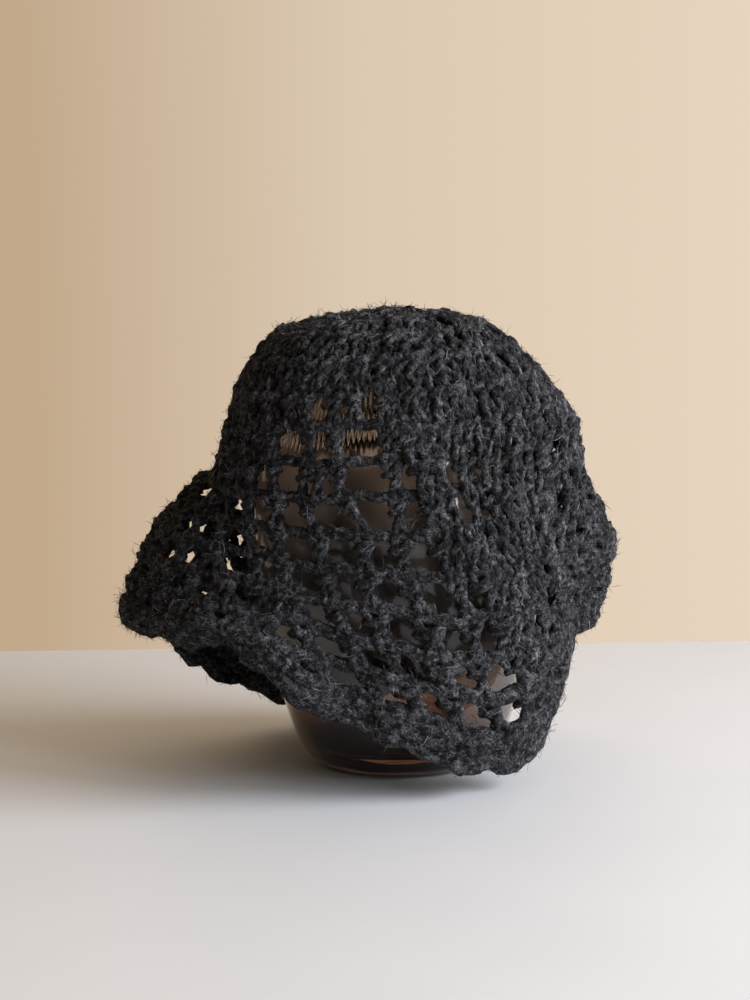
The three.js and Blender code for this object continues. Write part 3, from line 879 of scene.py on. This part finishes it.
def make_beanie():
    """The hat's pieces, each with the CAD node it stands for and its material slot."""
    middle, outward = knit_surface()
    guide = guide_object(middle, outward)
    tables = worked_stitches(middle)
    stitches, fuzz = stitch_tree(), fuzz_tree()
    common = {"Guide": guide, "Sides": 5, "Yarn radius": YARN / 2 * MM, "Wander": WANDER * MM,
              "Relief": 0.75, "Wool": wool_yarn()}
    # Each kind of stitch: its template, the template's height and the points of a strand.
    kinds = {"links": (template_object("chain_link", CHAIN_LINK), 1.0, 12),
             "long_posts": (template_object("long_post", LONG_POST), POST_HEIGHT, 8),
             "short_posts": (template_object("short_post", SHORT_POST), SHORT_HEIGHT, 7)}
    fuzzes = {}
    for label, (length, thickness, lifts, density, curl, stray, seed) in FIBRES.items():
        fibre = fibre_object(f"{label}_fibre", length, thickness, lifts)
        fuzzes[label] = {"Fibre": fibre, "Wool": wool_fibre(*FIBRE_WOOLS[label]), "Density": density,
                         "Curl": curl * MM, "Stray": stray, "Seed": seed}

    pieces = []
    for part, node in (("crown", "crown"), ("side", "mesh_side"), ("brim", "brim"), ("edging", "edging")):
        meshes = []
        for label, (template, height, points) in kinds.items():
            if part in tables[label]:
                host = places_object(f"{part}_{label}", joined(tables[label][part]))
                values = {**common, "Template": template, "Height": height * MM, "Points": points}
                meshes.append(grown(f"{part}_{label}", host, stitches, values))
        crochet = join_meshes(f"{part}_crochet", meshes)
        pieces.append((crochet, node, f"{part}_wool"))
        for label, values in fuzzes.items():
            host = object_of("fuzz_host", crochet.data.copy())
            mesh = grown(f"{part}_{label}", host, fuzz, values)
            pieces.append((object_of(f"{part}_{label}", mesh), node, f"{part}_wool"))
    templates = [template for template, _, _ in kinds.values()]
    for helper in (guide, *templates, *(values["Fibre"] for values in fuzzes.values())):
        bpy.data.objects.remove(helper)
    return pieces


def join_meshes(name, meshes):
    objects = [object_of(name if k == 0 else f"{name}_{k}", mesh) for k, mesh in enumerate(meshes)]
    if len(objects) > 1:
        with bpy.context.temp_override(active_object=objects[0], selected_editable_objects=objects):
            bpy.ops.object.join()
    return objects[0]


def make_stage():
    """A pale table top that ends a little behind the jar."""
    front, back, reach, thick = -1.6, 0.313, 1.6, 0.03
    outline = [(-reach, front), (reach, front), (reach, back), (-reach, back)]
    corners = [(x, y, z) for z in (-thick, 0.0) for x, y in outline]
    faces = [(0, 3, 2, 1), (4, 5, 6, 7), (0, 1, 5, 4), (1, 2, 6, 5), (2, 3, 7, 6), (3, 0, 4, 7)]
    mesh = bpy.data.meshes.new("table_top")
    mesh.from_pydata(corners, [], faces)
    table = object_of("table_top", mesh)
    material, tree, shader = new_material("painted_board", {"Roughness": 0.55})
    place = add(tree, "ShaderNodeTexCoord").outputs["Object"]
    grain = add(tree, NOISE, {"Vector": place, "Scale": 1 / (90 * MM), "Detail": 4.0})
    shade = add(tree, RAMP, {0: grain}, [(0.0, linear(0xDEE2E4)), (1.0, linear(0xE6E9EA))])
    feed(tree, shader, {"Base Color": shade})
    mesh.materials.append(material)


# The windows: place and target, width and height in m, power in W. Daylight is a little blue.
WINDOWS = {"far_window": [(1.1, -1.25, 0.55), (0.0, 0.0, 0.12), 0.3, 0.8, 11.5],
           "window": [(1.35, -0.4, 0.75), (0.0, 0.0, 0.1), 1.2, 0.8, 34.0]}
DAYLIGHT = 0xECF1FD


def make_light():
    world = bpy.data.worlds.new("room")
    bpy.context.scene.world = world
    world.use_nodes = True
    tree = world.node_tree
    tree.nodes.clear()
    way = add(tree, "ShaderNodeTexCoord").outputs["Generated"]
    across, ahead, _ = add(tree, "ShaderNodeSeparateXYZ", {0: way}).outputs
    # The backdrop the camera sees is darker to the left: painted shade, as the daylight comes from the right.
    share = add(tree, RANGE, {0: across, 1: -0.18, 2: 0.18, 3: 0.0, 4: 1.0})
    shaded_backdrop = add(tree, RAMP, {0: share},
               [(0.0, linear(0xC2A98C)), (0.45, linear(0xDCC9B2)), (1.0, linear(0xE7D5BF))])
    seen = add(tree, "ShaderNodeBackground", {"Color": shaded_backdrop, "Strength": 1.0})
    # The wall throws back more daylight than the room in front of it, and the right side more than the left.
    bright_side = add(tree, MATH, {0: across, 1: 0.7, 2: ahead}, operation="MULTIPLY_ADD")
    strength = add(tree, RANGE, {0: bright_side, 1: -0.6, 2: 0.6, 3: 0.12, 4: 1.0})
    fill = add(tree, "ShaderNodeBackground", {"Color": linear(0xE0C6A8), "Strength": strength})
    camera_ray = add(tree, "ShaderNodeLightPath").outputs["Is Camera Ray"]
    both = add(tree, "ShaderNodeMixShader", {0: camera_ray, 1: fill, 2: seen})
    add(tree, "ShaderNodeOutputWorld", {"Surface": both})
    for name, (place, target, width, height, power) in WINDOWS.items():
        data = bpy.data.lights.new(name, "AREA")
        data.shape = "RECTANGLE"
        data.size = width
        data.size_y = height
        data.energy = power
        data.color = linear(DAYLIGHT)[:3]
        lamp = object_of(name, data)
        lamp.location = place
        lamp.rotation_euler = (Vector(target) - Vector(place)).to_track_quat("-Z", "Y").to_euler()


# The camera stands 950 mm in front of the jar's axis and 225 mm above the table. Angles are in degrees.
CAMERA_BACK, CAMERA_UP = 0.950, 0.225
CAMERA_PITCH, CAMERA_YAW, CAMERA_ROLL = 5.87, 0.667, 0.9
CAMERA_LENS = 71.1


def make_camera():
    data = bpy.data.cameras.new("camera")
    data.sensor_width = 36
    data.sensor_fit = "AUTO"
    data.lens = CAMERA_LENS
    camera = object_of("camera", data)
    camera.location = (0.0, -CAMERA_BACK, CAMERA_UP)
    turn = Matrix.Rotation(math.radians(CAMERA_YAW), 3, "Z")
    tilt = Matrix.Rotation(math.radians(90 - CAMERA_PITCH), 3, "X")
    roll = Matrix.Rotation(math.radians(-CAMERA_ROLL), 3, "Z")
    camera.rotation_euler = (turn @ tilt @ roll).to_euler()
    bpy.context.scene.camera = camera


make_stage()
make_light()
make_camera()
bpy.context.scene.view_settings.view_transform = "Standard"

for piece, node, slot in make_beanie():
    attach(piece, "root")
    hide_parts(node)

jar = object_of("jar_glass", jar_mesh())
jar.data.materials.append(smoked_glass())
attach(jar, "root")
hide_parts("glass_jar")
